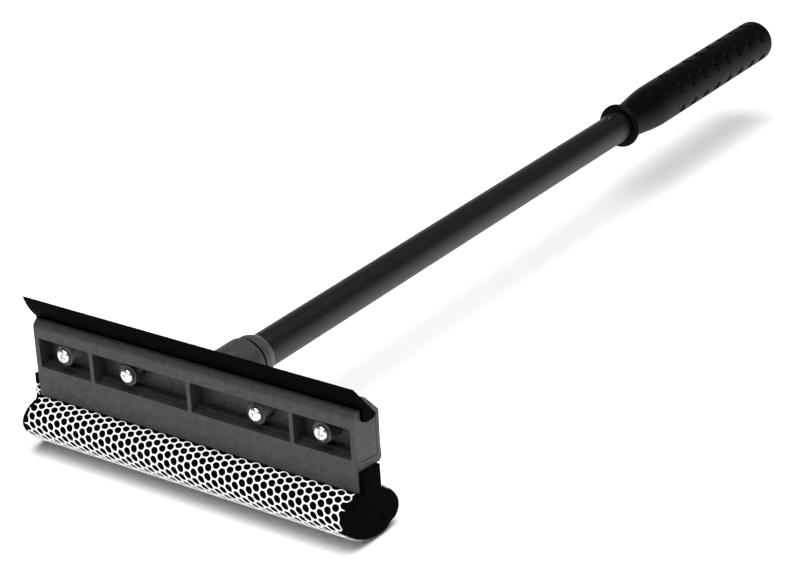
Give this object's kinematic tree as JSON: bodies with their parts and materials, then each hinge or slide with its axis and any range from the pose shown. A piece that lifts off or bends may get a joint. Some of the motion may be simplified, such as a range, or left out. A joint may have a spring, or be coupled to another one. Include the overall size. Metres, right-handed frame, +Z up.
{
  "type": "window cleaning squeegee",
  "caption": "Hand squeegee with a rubber blade above a net-covered sponge in a moulded head, on a long tube handle with a dimpled rubber grip.",
  "frame": {"origin": "on the floor under the middle of the tool's overall box, the sponge standing on the floor", "axes": "+X along the blade, +Y from the head along the handle to the grip, +Z up to the blade's edge"},
  "size_m": [0.207, 0.619, 0.0863],
  "materials": {
    "housing_plastic": "satin charcoal moulded plastic",
    "blade_rubber": "smooth black rubber",
    "sponge_foam": "open black foam",
    "sponge_netting": "white knotted synthetic net",
    "screw_steel": "bright zinc plate",
    "washer_rubber": "matt black",
    "ferrule_plastic": "satin dark grey",
    "tube_steel": "satin black coated steel",
    "grip_pvc": "semi-gloss black moulded grip"
  },
  "bodies": {
    "head": {"front_housing": "housing_plastic", "rear_housing": "housing_plastic", "squeegee_blade": "blade_rubber", "sponge_core": "sponge_foam", "sponge_net": "sponge_netting", "housing_screw_1": "screw_steel", "housing_screw_2": "screw_steel", "housing_screw_3": "screw_steel", "housing_screw_4": "screw_steel"},
    "washer": {"ferrule_washer": "washer_rubber"},
    "handle": {"handle_ferrule": "ferrule_plastic", "handle_tube": "tube_steel", "hand_grip": "grip_pvc"}
  },
  "joints": [
    {"name": "handle_draw", "type": "slide", "parent": "head", "child": "washer", "axis": [0, 1, 0], "range_m": [0, 0.02032]},
    {"name": "handle_unscrew", "type": "hinge", "parent": "washer", "child": "handle", "pos_m": [0, -0.23549, 0.05411], "axis": [0, 1, 0], "range_deg": [0, 1440]}
  ],
  "couplings": [
    {"joint": "handle_draw", "follows": "handle_unscrew", "m_per_rad": 0.00080851}
  ]
}
